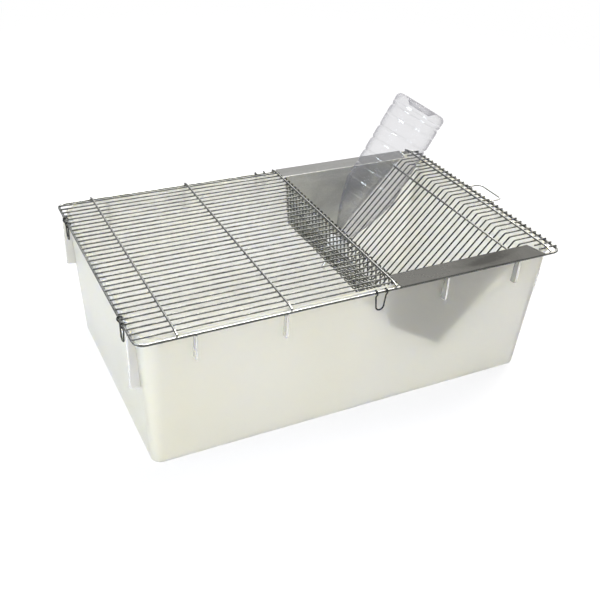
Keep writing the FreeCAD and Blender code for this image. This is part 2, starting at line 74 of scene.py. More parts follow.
def unit(vectors):
    """Each vector divided by its own length."""
    return vectors / np.linalg.norm(vectors, axis=-1, keepdims=True)


def grid_faces(rows, columns, looped=False):
    """Quads between neighbouring rows of a grid whose columns close into rings.

    Point (i, j) has number i * columns + j, and a quad joins it to (i, j + 1),
    (i + 1, j + 1) and (i + 1, j). A looped grid also joins its last row to its first.
    """
    row = np.arange(rows if looped else rows - 1)[:, None]
    column = np.arange(columns)[None, :]
    below, beside = (row + 1) % rows, (column + 1) % columns
    corners = (
        row * columns + column,
        row * columns + beside,
        below * columns + beside,
        below * columns + column,
    )
    return np.stack(corners, axis=-1).reshape(-1, 4)


def rings(points, looped=False):
    """Points and faces of a skin over rings of points; open ends are closed by one flat face each."""
    rows, columns = points.shape[:2]
    faces = grid_faces(rows, columns, looped).tolist()
    if not looped:
        first = np.arange(columns)
        faces += [first[::-1].tolist(), (first + (rows - 1) * columns).tolist()]
    return points.reshape(-1, 3), faces


def joined(skins):
    """Several skins as one: each later skin's faces count on from the points before it."""
    starts = np.cumsum([0] + [len(points) for points, _ in skins])
    faces = [
        [index + start for index in face]
        for (_, part), start in zip(skins, starts)
        for face in part
    ]
    return np.concatenate([points for points, _ in skins]), faces


def new_piece(name, skin, body, slot, *nodes):
    """Put a skin into a mesh, shade it smooth between sharp edges and let it ride on its body."""
    points, faces = skin
    mesh = bpy.data.meshes.new(name)
    mesh.from_pydata(points * MM, [], faces)
    mesh.polygons.foreach_set("use_smooth", np.ones(len(faces), bool))
    mesh.set_sharp_from_angle(angle=SHARP_EDGE)
    piece = bpy.data.objects.new(name, mesh)
    bpy.context.scene.collection.objects.link(piece)
    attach(piece, body)
    if nodes:
        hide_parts(*nodes)
    return piece


# %% [markdown]
# ## Wires
# The lid is straightened wire, cut, bent and spot-welded. A curve with a bevel would also draw a
# wire, but a mesh of our own lets us choose how the ends are cut and how each bend is rounded.
# A bend is an arc that touches both straight runs, as a bending pin leaves it.

# %% Bent wire
WIRE_SIDES = 12
BEND_STEPS = 7
END_BEVEL = 0.3


def bent(corners, radius, closed=False):
    """A path through corners with each corner rounded by an arc of one radius.

    With both runs away from the corner as unit vectors a and b, the arc's centre lies along
    a + b, at radius / sin(half the angle between them), and the arc starts radius / tan(half
    angle) along a. Points between the arc's two ends are mixed by sines, which keeps them round.
    """
    corners = np.asarray(corners, float)
    inner = corners if closed else corners[1:-1]
    to_last = unit((np.roll(corners, 1, axis=0) if closed else corners[:-2]) - inner)
    to_next = unit((np.roll(corners, -1, axis=0) if closed else corners[2:]) - inner)
    half = np.arccos(np.clip((to_last * to_next).sum(axis=1), -1, 1))[:, None] / 2
    centre = inner + unit(to_last + to_next) * radius / np.sin(half)
    reach = radius / np.tan(half)
    start, stop = inner + to_last * reach - centre, inner + to_next * reach - centre
    turn = np.pi - 2 * half[:, None, :]
    share = np.linspace(0, 1, BEND_STEPS)[None, :, None]
    mixed = np.sin((1 - share) * turn) * start[:, None, :] + np.sin(share * turn) * stop[:, None, :]
    arcs = (centre[:, None, :] + mixed / np.sin(turn)).reshape(-1, 3)
    return arcs if closed else np.concatenate([corners[:1], arcs, corners[-1:]])


def wire(path, radius, facing, closed=False):
    """A round wire: a circle of the radius, square to the path, at each of the path's points.

    The circle's two axes are facing x direction and direction x that, so facing may be any
    vector that the path never runs along. Cut ends get a small bevel.
    """
    path = np.asarray(path, float)
    if not closed:
        trim = END_BEVEL * radius
        first = path[:1] + trim * unit(path[1] - path[0])
        last = path[-1:] + trim * unit(path[-2] - path[-1])
        path = np.concatenate([path[:1], first, path[1:-1], last, path[-1:]])
    size = np.full(len(path), float(radius))
    steps = unit(np.diff(path, axis=0, append=path[:1]))
    before = np.roll(steps, 1, axis=0)
    if not closed:
        size[[0, -1]] *= 1 - END_BEVEL
        before[0], steps[-1] = steps[0], steps[-2]
    ahead = unit(before + steps)
    across = unit(np.cross(facing, ahead))
    up = np.cross(ahead, across)
    angle = np.linspace(0, 2 * np.pi, WIRE_SIDES, endpoint=False)[None, :, None]
    circle = np.cos(angle) * across[:, None, :] + np.sin(angle) * up[:, None, :]
    return rings(path[:, None, :] + size[:, None, None] * circle, looped=closed)


X_AXIS, Y_AXIS, Z_AXIS = np.eye(3)
print("a wire has", WIRE_SIDES, "sides, and a bend has", BEND_STEPS, "points")

# %% [markdown]
# ## The lid's frame
# One thick wire runs round the lid with rounded corners, and the bars and rungs are welded to it.
# Its box in the model gives its place, so only the wire's thickness and the corner's bend are named.

# %% Lid frame
FRAME_WIRE = 3.5
FRAME_CORNER = 12

low, high = span("lid_frame")
frame_x, frame_y = high[0] - FRAME_WIRE / 2, high[1] - FRAME_WIRE / 2
frame_level = (low[2] + high[2]) / 2
frame_corners = [
    (side_x * frame_x, side_y * frame_y, frame_level)
    for side_x, side_y in ((-1, -1), (1, -1), (1, 1), (-1, 1))
]
lid_frame = wire(bent(frame_corners, FRAME_CORNER, closed=True), FRAME_WIRE / 2, Z_AXIS, closed=True)
frame_piece = new_piece("lid_frame_wire", lid_frame, "lid", "lid_wire", "lid_frame")
print("lid frame", 2 * frame_x, "by", 2 * frame_y, "mm at", frame_level)

# %% [markdown]
# ## The bars
# Twenty-nine bars run from end to end. Each drops down a short wall, runs along the hopper's floor
# and climbs a long slope back to the top. The few bars outside the sheet-metal plates are straight.
# A bar lies in a plane, so its path needs only the corners, and the bend does the rest.

# %% Hopper bars and side bars
BAR_WIRE = 2.2
BAR_BEND = 4.5
HOPPER_EDGE_X = 43
HOPPER_FOOT = (51, 118.9)
HOPPER_APEX = (133, 69.9)
HOPPER_RIDGE_X = 249


def middle(node):
    """The middle of a node's box."""
    return sum(span(node)) / 2


hopper_bars = sorted(name for name in frame["nodes"] if name.startswith("hopper_bar_"))
side_bars = sorted(name for name in frame["nodes"] if name.startswith("side_bar_"))
bar_left, bar_right = span(hopper_bars[0])[0][0], span(hopper_bars[0])[1][0]
bar_level = middle(side_bars[0])[2]
bar_outline = np.array(
    [
        (bar_left, bar_level),
        (HOPPER_EDGE_X, bar_level),
        HOPPER_FOOT,
        HOPPER_APEX,
        (HOPPER_RIDGE_X, bar_level),
        (bar_right, bar_level),
    ]
)
bar_pieces = []
for name in hopper_bars:
    corners = np.insert(bar_outline, 1, middle(name)[1], axis=1)
    bar = wire(bent(corners, BAR_BEND), BAR_WIRE / 2, Y_AXIS)
    bar_pieces.append(new_piece(name + "_wire", bar, "lid", "lid_wire", name))
for name in side_bars:
    (left, _, _), (right, _, _) = span(name)
    ends = [(left, *middle(name)[1:]), (right, *middle(name)[1:])]
    bar = wire(ends, BAR_WIRE / 2, Y_AXIS)
    bar_pieces.append(new_piece(name + "_wire", bar, "lid", "lid_wire", name))
print(len(hopper_bars), "hopper bars and", len(side_bars), "side bars")

# %% [markdown]
# ## Cross wires
# Four rungs lie on top of the bars and reach over the frame, where the welder presses their ends
# down a little. Three shorter wires hold the hopper's wall, floor and slope. All are straight
# between their ends, so each one's box in the model gives its path.

# %% Rungs and hopper wires
RUNG_WIRE = 2.8
PRESSED_LENGTH = 9
PRESSED_DROP = 2.2
PRESSED_BEND = 12
rung_names = ("front_rung", "middle_rung", "hopper_edge_wire", "end_rung")
cross_names = ("wall_wire", "floor_wire", "slope_wire")
rung_pieces = []
for name in rung_names + cross_names:
    (_, front, _), (_, back, _) = span(name)
    x, _, z = middle(name)
    path = np.array([(x, front, z), (x, back, z)])
    if name in rung_names:
        inner = path + [(0, PRESSED_LENGTH, 0), (0, -PRESSED_LENGTH, 0)]
        outer = path - [0, 0, PRESSED_DROP]
        path = bent(np.stack([outer[0], inner[0], inner[1], outer[1]]), PRESSED_BEND)
    rung = wire(path, RUNG_WIRE / 2, X_AXIS)
    rung_pieces.append(new_piece(name + "_bar", rung, "lid", "lid_wire", name))
print(len(rung_names), "rungs and", len(cross_names), "hopper wires")

# %% [markdown]
# ## End loop
# A fixed loop of wire is welded on the right-hand end of the frame, to lift or hook the lid by.

# %% End loop
LOOP_BEND = 8
low, high = span("end_loop")
loop_x, loop_y = high[0] - RUNG_WIRE / 2, high[1] - RUNG_WIRE / 2
loop_level = (low[2] + high[2]) / 2
loop_corners = [(low[0], -loop_y), (loop_x, -loop_y), (loop_x, loop_y), (low[0], loop_y)]
loop_path = bent(np.insert(loop_corners, 2, loop_level, axis=1), LOOP_BEND)
loop = wire(loop_path, RUNG_WIRE / 2, Z_AXIS)
end_loop = new_piece("end_loop_wire", loop, "lid", "lid_wire", "end_loop")
print("the end loop reaches to", high[0], "mm")

# %% [markdown]
# ## Spot welds
# Where two wires cross, the welder leaves a small squeezed bead. There are hundreds, so each is a
# ball of only a few faces, stretched along the wires and copied to every crossing by adding the
# ball's points to an array of places.

# %% Spot welds
WELD_SIZE = np.array([1.9, 1.7, 1.2])
WELD_BANDS = 4
WELD_SIDES = 8
WELD_POLE = np.radians(81)


def weld_beads(places):
    """A squashed ball at each place: (cos u cos v, cos u sin v, sin u) times the weld's size."""
    tilt = np.linspace(-WELD_POLE, WELD_POLE, WELD_BANDS)[:, None]
    turn = np.linspace(0, 2 * np.pi, WELD_SIDES, endpoint=False)[None, :]
    flat = [np.cos(tilt) * np.cos(turn), np.cos(tilt) * np.sin(turn)]
    height = np.broadcast_to(np.sin(tilt), (WELD_BANDS, WELD_SIDES))
    ball = np.stack([*flat, height], axis=-1) * WELD_SIZE
    return joined([rings(ball + place) for place in places])


bar_rows = np.array(sorted({round(middle(name)[1], 2) for name in hopper_bars + side_bars}))
hopper_rows = np.array([middle(name)[1] for name in hopper_bars])
bar_top, bar_under = bar_level + BAR_WIRE / 2, bar_level - BAR_WIRE / 2


def weld_row(x, rows, z):
    """One weld for each bar in the rows, at one x and one height."""
    return np.stack([np.full(len(rows), x), rows, np.full(len(rows), z)], axis=1)


def on_bar(name):
    """Where a hopper wire touches the bars: its middle, moved half way to the nearest bar run."""
    spot = middle(name)[[0, 2]]
    starts, stops = bar_outline[:-1], bar_outline[1:]
    share = ((spot - starts) * (stops - starts)).sum(axis=1) / ((stops - starts) ** 2).sum(axis=1)
    feet = starts + np.clip(share, 0, 1)[:, None] * (stops - starts)
    return (spot + feet[np.argmin(np.linalg.norm(feet - spot, axis=1))]) / 2


weld_rows = [weld_row(side * frame_x, bar_rows, bar_under) for side in (-1, 1)]
rows_under = {**dict.fromkeys(rung_names, bar_rows), "hopper_edge_wire": hopper_rows}
weld_rows += [weld_row(middle(name)[0], rows, bar_top) for name, rows in rows_under.items()]
for name in cross_names:
    x, z = on_bar(name)
    weld_rows.append(weld_row(x, hopper_rows, z))
loop_feet = np.array([-loop_y, loop_y])
weld_rows.append(weld_row(frame_x, loop_feet, frame_level + FRAME_WIRE / 2))
weld_places = np.concatenate(weld_rows)
spot_welds = new_piece("spot_welds", weld_beads(weld_places), "lid", "lid_wire")
print(len(weld_places), "welds")

# %% [markdown]
# ## Clips
# Each clip is one wire. It curls round the frame, comes off the curl with a gentle swing, runs down
# as a leg, turns through a U and comes up the other leg to a second curl. Half of the path is worked
# out and mirrored. The joint in the frame says where it hangs.

# %% Clips
CLIP_WIRE = 2
CLIP_HALF_WIDTH = 7
CLIP_TAPER = 1.5
CLIP_BEND = 5.5
CLIP_DROP = 26
EYE_GAP = 0.2
EYE_TURN = np.radians([-168, 90])
SWING_DROP = 7
CURVE_STEPS = 24


def clip_path():
    """The clip's wire, hung from the origin with its hinge along X and its outside towards -Y.

    The curl is a circle round the hinge, the swing moves from the curl's front to below the hinge
    by the smooth step 3s^2 - 2s^3, and the U's corner is a quarter circle. The legs lean in by
    the taper from the curl to the U. Both halves end in the same point, which is kept once.
    """
    ring = FRAME_WIRE / 2 + EYE_GAP + CLIP_WIRE / 2
    turn = np.linspace(*EYE_TURN, CURVE_STEPS)
    flat = np.zeros(CURVE_STEPS)
    curl = np.stack([flat, -ring * np.sin(turn), ring * np.cos(turn)], axis=1)
    share = np.linspace(0, 1, CURVE_STEPS // 2)[1:]
    swing = np.stack([0 * share, ring * (share**2 * (3 - 2 * share) - 1), -SWING_DROP * share], axis=1)
    corner = np.linspace(0, np.pi / 2, CURVE_STEPS // 2)
    leg = np.stack([CLIP_BEND * (1 - np.cos(corner)), 0 * corner, -CLIP_BEND * np.sin(corner)], axis=1)
    leg[:, 2] -= CLIP_DROP - CLIP_BEND
    leg[:, 0] += CLIP_TAPER
    half = np.concatenate([curl, swing, leg]) - [CLIP_HALF_WIDTH, 0, 0]
    return np.concatenate([half, half[-2::-1] * [-1, 1, 1]])


NOT_ALONG_CLIP = np.array([1.0, 0.9, 1.1])
clip_turns = {"front_clip": 0, "back_clip": 180, "left_front_clip": -90, "left_back_clip": -90}
clip_pieces = []
for name, degrees in clip_turns.items():
    hinge = np.array(joints[name + "_swing"]["pos_m"]) / MM
    turned = clip_path() @ np.array(Matrix.Rotation(np.radians(degrees), 3, "Z")).T
    facing = NOT_ALONG_CLIP @ np.array(Matrix.Rotation(np.radians(degrees), 3, "Z")).T
    clip = wire(turned + hinge, CLIP_WIRE / 2, facing)
    clip_pieces.append(new_piece(name + "_wire", clip, name, "clip_wire", name))
print(len(clip_pieces), "clips")

# %% [markdown]
# ## The tub
# The tub is one injection moulding: drafted walls so that it leaves its mould, rounded corners, a
# rounded heel and a flat rim. A cube with bevels could be pushed about until it looked right. Here
# one profile, drawn from the underside up the outside, over the rim and down the inside, is carried
# round a rounded rectangle, so the wall keeps its thickness everywhere.

# %% Tub shell
TUB_WALL = 2.5
TUB_DRAFT = np.radians(3.5)
TUB_CORNER = 12
TUB_HEEL = 7
RIM_INSET = 6.1
RIM_WIDTH = 2
RIM_THICK = 3
EDGE_ROUND = 0.8
CORNER_STEPS = 14
SUPPORT = 2.0

tub_height = span("tub")[1][2]
lid_x, lid_y = frame_x + FRAME_WIRE / 2, frame_y + FRAME_WIRE / 2
wall_x, wall_y = lid_x - RIM_INSET - RIM_WIDTH, lid_y - RIM_INSET - RIM_WIDTH
top_corner = TUB_CORNER + tub_height * np.tan(TUB_DRAFT)


def wall_line(height):
    """How far the wall's outside lies from its own top edge at some height; inwards is negative."""
    return (height - tub_height) * np.tan(TUB_DRAFT)


def arc(centre, radius, start, stop, steps=6):
    """Points on a circle from one angle to another, in degrees."""
    angle = np.radians(np.linspace(start, stop, steps))
    return np.stack([centre[0] + radius * np.cos(angle), centre[1] + radius * np.sin(angle)], axis=1)


def tub_profile():
    """The wall's section as (distance out from the wall's top edge, height)."""
    tilt = np.degrees(TUB_DRAFT)
    inset = TUB_WALL / np.cos(TUB_DRAFT)
    heel_x = wall_line(TUB_HEEL) - TUB_HEEL / np.cos(TUB_DRAFT)
    bore = TUB_HEEL - TUB_WALL
    under = tub_height - RIM_THICK
    heel_top, wall_top = TUB_HEEL + SUPPORT, under - SUPPORT
    turn_in = wall_line(under - EDGE_ROUND) + EDGE_ROUND
    lip = RIM_WIDTH - EDGE_ROUND
    inner_top = wall_line(tub_height) - inset
    return np.concatenate(
        [
            [(heel_x - SUPPORT, 0)],
            arc((heel_x, TUB_HEEL), TUB_HEEL, -90, -tilt, 8),
            [(wall_line(heel_top), heel_top), (wall_line(wall_top), wall_top)],
            arc((turn_in, under - EDGE_ROUND), EDGE_ROUND, 180 - tilt, 90, 4),
            arc((lip, under + EDGE_ROUND), EDGE_ROUND, -90, 0, 5),
            arc((lip, tub_height - EDGE_ROUND), EDGE_ROUND, 0, 90, 5),
            arc((inner_top + EDGE_ROUND, tub_height - EDGE_ROUND), EDGE_ROUND, 90, 180, 5),
            [(wall_line(heel_top) - inset, heel_top)],
            arc((heel_x, TUB_HEEL), bore, -tilt, -90, 8),
            [(heel_x - SUPPORT, TUB_WALL)],
        ]
    )


def carried_round(profile, half_x, half_y, corner):
    """A profile of (distance out, height) carried round a rounded rectangle.

    At each profile point the rectangle grows by the distance, corners included. Each corner is a
    quarter circle, and a point just past either end of it keeps the flat sides flat.
    """
    angle = np.linspace(0, np.pi / 2, CORNER_STEPS) + np.pi / 2 * np.arange(4)[:, None]
    sign_x, sign_y = np.array([1, -1, -1, 1])[:, None], np.array([1, 1, -1, -1])[:, None]
    out = profile[:, 0][:, None, None]
    x = sign_x * (half_x - corner) + (corner + out) * np.cos(angle)
    y = sign_y * (half_y - corner) + (corner + out) * np.sin(angle)
    flat = np.stack([x, y], axis=-1)
    along = np.stack([-np.sin(angle), np.cos(angle)], axis=-1)
    before = flat[:, :, :1] - SUPPORT * along[None, :, :1]
    after = flat[:, :, -1:] + SUPPORT * along[None, :, -1:]
    loop = np.concatenate([before, flat, after], axis=2).reshape(len(profile), -1, 2)
    height = np.broadcast_to(profile[:, 1][:, None, None], loop.shape[:2] + (1,))
    return rings(np.concatenate([loop, height], axis=-1))


tub_skin = carried_round(tub_profile(), wall_x, wall_y, top_corner)
tub_shell = new_piece("tub_shell", tub_skin, "tub", "tub_plastic", "tub")
print("tub walls", 2 * wall_x, "by", 2 * wall_y, "mm at the rim,", tub_height, "high")

# %% [markdown]
# ## Ribs and gussets
# Thin plates stand out from the wall under the lid's frame and carry it: short ribs along the sides
# and taller gussets near the corners of the ends. Each is an outline given a thickness, with its
# edges drawn in a little, and all are rooted in the wall.

# %% Ribs and gussets
RIB_THICK = 2.5
RIB_MARGIN = 62.5
RIB_DROP = 38
RIB_SLANT = 1
GUSSET_DROP = 80
GUSSET_MARGIN = 24
RIM_GAP = 0.4
SEAT_GAP = 0.3
ROOT = 1.2
PLATE_EDGE = 0.45
FOOT_ROUND = 2.5


def brace_outline(drop):
    """A brace seen from its side: under the frame, down its free edge, round its foot, up the wall."""
    top, foot = frame_level - FRAME_WIRE / 2 - SEAT_GAP, tub_height - drop
    edge = RIM_INSET + RIM_WIDTH - RIM_GAP
    corners = np.array(
        [(edge, 0, top), (edge, 0, foot + RIB_SLANT), (wall_line(foot) - ROOT, 0, foot)]
    )
    free_edge = bent(corners, FOOT_ROUND)[:, [0, 2]]
    return np.concatenate([free_edge, [(wall_line(top) - ROOT, top)]])


def thick_plate(outline, thickness):
    """An outline in (out, height) given a thickness; both faces are drawn in so that edges are soft.

    A corner moves in along the sum of its two edges' normals, divided by 1 + their dot product.
    """
    edges = unit(np.roll(outline, -1, axis=0) - outline)
    normals = np.stack([-edges[:, 1], edges[:, 0]], axis=1)
    last = np.roll(normals, 1, axis=0)
    inwards = (normals + last) / (1 + (normals * last).sum(axis=1, keepdims=True))
    centre = outline.mean(axis=0)
    inwards *= np.sign(((centre - outline) * inwards).sum())
    depth = np.array([-0.5, -0.5, 0.5, 0.5]) * thickness + np.array([0, 1, -1, 0]) * PLATE_EDGE
    drawn_in = np.array([1, 0, 0, 1])[:, None, None] * PLATE_EDGE * inwards
    flat = outline + drawn_in
    across = np.broadcast_to(depth[:, None, None], flat.shape[:2] + (1,))
    return np.concatenate([across, flat], axis=-1)


def braces():
    """Four ribs on each long side, whose middle stays free for a clip, and two gussets on each end."""
    rib = thick_plate(brace_outline(RIB_DROP), RIB_THICK)
    gusset = thick_plate(brace_outline(GUSSET_DROP), RIB_THICK)
    rib_row = np.array([-1, -0.5, 0.5, 1]) * (wall_x - RIB_MARGIN)
    gusset_row = np.array([-1, 1]) * (wall_y - GUSSET_MARGIN)
    skins = []
    for side in (-1, 1):
        across, out, height = np.moveaxis(rib, -1, 0)
        for x in rib_row:
            points = np.stack([x + across, side * (wall_y + out), height], axis=-1)
            skins.append(rings(points[::side]))
        across, out, height = np.moveaxis(gusset, -1, 0)
        for y in gusset_row:
            points = np.stack([side * (wall_x + out), y + across, height], axis=-1)
            skins.append(rings(points[::-side]))
    return joined(skins)


tub_braces = new_piece("tub_braces", braces(), "tub", "tub_plastic")
print("ribs stand out to", wall_y + RIM_INSET + RIM_WIDTH - RIM_GAP, "mm")

# %% [markdown]
# ## The drinking bottle
# The bottle is blown into a mould, so it is a surface of revolution: a neck, a long shoulder, a body
# with ring grooves that stiffen it, and a base pushed inwards. Spinning a profile gives it in one
# step. The inside is the same profile moved in by the wall, so each wall has two surfaces as it
# does in the real thing.

# %% Spun pieces
BOTTLE_SIDES = 96
up_axis = np.array(joints["cap_turn"]["axis"])
mouth = np.array(joints["cap_turn"]["pos_m"]) / MM
side_axis = Y_AXIS
third_axis = np.cross(up_axis, side_axis)


def spun(profile, sides, looped=False, flutes=0, flute_depth=0.0, fluted=None):
    """A profile of (radius, height) turned about the bottle's axis, with the mouth at height 0.

    Where fluted is true the radius shrinks by flute_depth * (1 + cos(flutes * turn)) / 2.
    """
    turn = np.linspace(0, 2 * np.pi, sides, endpoint=False)[None, :]
    radius = np.repeat(profile[:, :1], sides, axis=1)
    if flutes:
        radius = radius - fluted[:, None] * flute_depth * (1 + np.cos(flutes * turn)) / 2
    outwards = np.cos(turn)[..., None] * side_axis + np.sin(turn)[..., None] * third_axis
    ring = radius[..., None] * outwards
    return rings(mouth + ring + profile[:, 1][:, None, None] * up_axis, looped)


def moved_in(profile, wall):
    """The profile moved to its left by a wall's thickness, for the inside of a shell."""
    ahead = unit(np.gradient(profile, axis=0))
    return profile + wall * np.stack([-ahead[:, 1], ahead[:, 0]], axis=1)


print("the bottle leans", round(np.degrees(np.arccos(up_axis[2])), 1), "degrees from upright")

# %% Bottle
BOTTLE_RADIUS = 41.5
BOTTLE_WALL = 0.9
BODY_LENGTH = 150
SHOULDER = 81
NECK_RADIUS = 13.5
NECK_HEIGHT = 22
RUN_GAP = 2
BASE_ROUND = 8
BASE_FLAT = 3
BASE_DISH = 9
DISH_SLOPE = 2.2
DISH_SHARE = 0.98
SHOULDER_BULGE = 2.6
GROOVE_PITCH = 21.4
GROOVES_FROM_BASE = np.array([21, *(57 + GROOVE_PITCH * np.arange(4))])
GROOVE_DEPTH = 1.5
GROOVE_WIDTH = 2.4
AXIS_HOLE = 0.8
NECK_STEPS, SHOULDER_STEPS, BODY_STEPS, HEEL_STEPS, DISH_STEPS = 8, 22, 130, 9, 16


def bottle_profile():
    """The bottle's outside from its mouth to the middle of its base, as (radius, height).

    The shoulder is a straight cone plus a bulge shaped like a sine. Each groove takes a bell curve
    off the body's radius. The base turns in by a quarter circle, and its dish deepens with the
    square of the way in until it is flat.
    """
    shoulder_top = NECK_HEIGHT + SHOULDER
    base = shoulder_top + BODY_LENGTH
    neck_rise = np.linspace(0, NECK_HEIGHT - RUN_GAP / 2, NECK_STEPS)
    neck = np.stack([np.full(NECK_STEPS, NECK_RADIUS), neck_rise], axis=1)
    share = np.linspace(0, 1, SHOULDER_STEPS)
    widening = (BOTTLE_RADIUS - NECK_RADIUS) * share + SHOULDER_BULGE * np.sin(np.pi * share)
    cone = np.stack([NECK_RADIUS + widening, NECK_HEIGHT + SHOULDER * share], axis=1)
    height = np.linspace(shoulder_top + RUN_GAP, base - BASE_ROUND, BODY_STEPS)
    grooves = base - GROOVES_FROM_BASE
    bells = np.exp(-(((height[:, None] - grooves) / GROOVE_WIDTH) ** 2)).sum(axis=1)
    barrel = np.stack([BOTTLE_RADIUS - GROOVE_DEPTH * bells, height], axis=1)
    heel = arc((BOTTLE_RADIUS - BASE_ROUND, base - BASE_ROUND), BASE_ROUND, 0, 90, HEEL_STEPS)[1:]
    foot = BOTTLE_RADIUS - BASE_ROUND - BASE_FLAT
    inward = np.linspace(0, 1, DISH_STEPS)
    sunk = DISH_SHARE * BASE_DISH * np.minimum(1, DISH_SLOPE * inward) ** 2
    dish = np.stack([foot - inward * (foot - AXIS_HOLE), base - sunk], axis=1)
    return np.concatenate([neck, cone, barrel, heel, dish])


outside = bottle_profile()
inside = moved_in(outside, BOTTLE_WALL)[::-1]
bottle_skin = spun(np.concatenate([inside, outside])[::-1], BOTTLE_SIDES)
bottle = new_piece("bottle_shell", bottle_skin, "bottle", "bottle_plastic", "bottle")
print("bottle", 2 * BOTTLE_RADIUS, "mm across,", outside[:, 1].max(), "long")

# %% [markdown]
# ## Cap, seal, drinking tube and ball
# The cap is a knurled screw cap with a rubber seal inside it. A steel tube goes through both, and a
# ball in its tip lets out a drop when an animal licks it. All are spun. The ball's profile is an
# arc that stops just short of both poles; the others are closed loops, so they have no poles.

# %% Cap and nozzle
CAP_RADIUS = 16.5
CAP_PLATE = 2.5
CAP_SKIRT = 16
CAP_ROUND = 0.6
CAP_FLUTES = 36
FLUTE_STEPS = 8
FLUTE_DEPTH = 0.5
FLUTE_MARGIN = 0.3
SKIRT_SKIN = 0.1
THREAD_GAP = 0.3
SEAL_THICK = 1.5
SEAL_GAP = 0.3
SEAL_ROUND = 0.3
TUBE_RADIUS = 3.5
TUBE_BORE = 2.6
TUBE_REACH = 38
TUBE_INSIDE = 6
TIP_BORE = 1.7
TIP_LENGTH = 1.5
TIP_TAPER = 0.4
TIP_ROUND = 0.25
BALL_RADIUS = 2.3
BALL_GAP = 0.3
BALL_POLE = 85
BALL_STEPS = 18
WELD_GAP = 0.05
SEAL_SIDES, TUBE_SIDES, BALL_SIDES = 64, 48, 32
seal_low = -(SEAL_GAP + SEAL_THICK)
cap_low = seal_low - CAP_PLATE
tip = cap_low - TUBE_REACH


def ring_profile(corners, radius):
    """A closed outline of (radius, height) with every corner rounded."""
    return bent(np.insert(np.asarray(corners, float), 1, 0, axis=1), radius, closed=True)[:, [0, 2]]


hole, bore = TUBE_RADIUS + WELD_GAP, NECK_RADIUS + THREAD_GAP
cap_outline = ring_profile(
    [
        (hole, cap_low),
        (CAP_RADIUS, cap_low),
        (CAP_RADIUS, CAP_SKIRT),
        (bore, CAP_SKIRT),
        (bore, seal_low),
        (hole, seal_low),
    ],
    CAP_ROUND,
)
out, height = cap_outline.T
between = (height > cap_low + FLUTE_MARGIN) & (height < CAP_SKIRT - FLUTE_MARGIN)
knurl = between & (out > CAP_RADIUS - SKIRT_SKIN)
cap_skin = spun(cap_outline, FLUTE_STEPS * CAP_FLUTES, True, CAP_FLUTES, FLUTE_DEPTH, knurl)
cap = new_piece("bottle_cap_knurled", cap_skin, "cap", "cap_plastic", "bottle_cap")

seal_outline = ring_profile(
    [(hole, seal_low), (NECK_RADIUS, seal_low), (NECK_RADIUS, -SEAL_GAP), (hole, -SEAL_GAP)],
    SEAL_ROUND,
)
seal_skin = spun(seal_outline, SEAL_SIDES, True)
seal = new_piece("cap_seal_ring", seal_skin, "cap", "seal_rubber", "cap_seal")

tube_outline = ring_profile(
    [
        (TIP_BORE, tip),
        (TUBE_RADIUS - TIP_TAPER, tip),
        (TUBE_RADIUS, tip + TIP_LENGTH),
        (TUBE_RADIUS, TUBE_INSIDE),
        (TUBE_BORE, TUBE_INSIDE),
        (TUBE_BORE, tip + TIP_LENGTH),
        (TIP_BORE, tip + TIP_LENGTH),
    ],
    TIP_ROUND,
)
tube_skin = spun(tube_outline, TUBE_SIDES, True)
tube = new_piece("drinking_tube_steel", tube_skin, "cap", "nozzle_steel", "drinking_tube")

ball_seat = np.sqrt(BALL_RADIUS**2 - TIP_BORE**2)
ball_middle = tip + TIP_LENGTH + ball_seat + BALL_GAP
ball_outline = arc((0, ball_middle), BALL_RADIUS, -BALL_POLE, BALL_POLE, BALL_STEPS)
ball_skin = spun(ball_outline, BALL_SIDES)
ball = new_piece("valve_ball_steel", ball_skin, "ball", "nozzle_steel", "valve_ball")
print("nozzle tip", round(-tip, 1), "mm below the mouth")

# %% [markdown]
# ## Finishes
# Zinc is never one flat grey: it has cloudy patches, smears and fine specks. Wires, clips and
# plates share that effect, so it is one node group with its own inputs, and each material gives it
# other values. A second group holds the bloom of moulded plastic. A third shades metal by how a face
# is turned: it stands in for a dark room and a bright floor mirrored in the metal, which this even
# white studio lacks. A group gives only colours and values; the shader stays in the material.

# %% Node helpers
COLOUR, VALUE, VECTOR = "NodeSocketColor", "NodeSocketFloat", "NodeSocketVector"
EASED = "SMOOTHSTEP"


def group_with(name, inputs, outputs):
    """An empty shader node group with named sockets, and its two end nodes."""
    group = bpy.data.node_groups.new(name, "ShaderNodeTree")
    for label, kind, default in inputs:
        socket = group.interface.new_socket(label, in_out="INPUT", socket_type=kind)
        socket.default_value = default
    for label, kind in outputs:
        group.interface.new_socket(label, in_out="OUTPUT", socket_type=kind)
    return group, group.nodes.new("NodeGroupInput"), group.nodes.new("NodeGroupOutput")


def node(tree, kind, links=None, **values):
    """A node whose properties are set by name and whose inputs are linked or given a value."""
    made = tree.nodes.new(kind)
    for label, value in values.items():
        setattr(made, label, value)
    for label, value in (links or {}).items():
        if isinstance(value, bpy.types.NodeSocket):
            tree.links.new(value, made.inputs[label])
        else:
            made.inputs[label].default_value = value
    return made


def maths(tree, operation, first, second=0.0):
    """The result of a Math node on one or two values."""
    return node(tree, "ShaderNodeMath", {0: first, 1: second}, operation=operation).outputs[0]


def ramp(tree, value, start, stop, low, high, kind="LINEAR"):
    """A value moved from the range start to stop into low to high, and held at both ends."""
    links = {"Value": value, "From Min": start, "From Max": stop, "To Min": low, "To Max": high}
    return node(tree, "ShaderNodeMapRange", links, interpolation_type=kind).outputs["Result"]


def noise(tree, place, scale, detail, distortion=0.0):
    """Noise between 0 and 1 over a place."""
    links = {"Vector": place, "Scale": scale, "Detail": detail, "Distortion": distortion}
    return node(tree, "ShaderNodeTexNoise", links).outputs["Fac"]


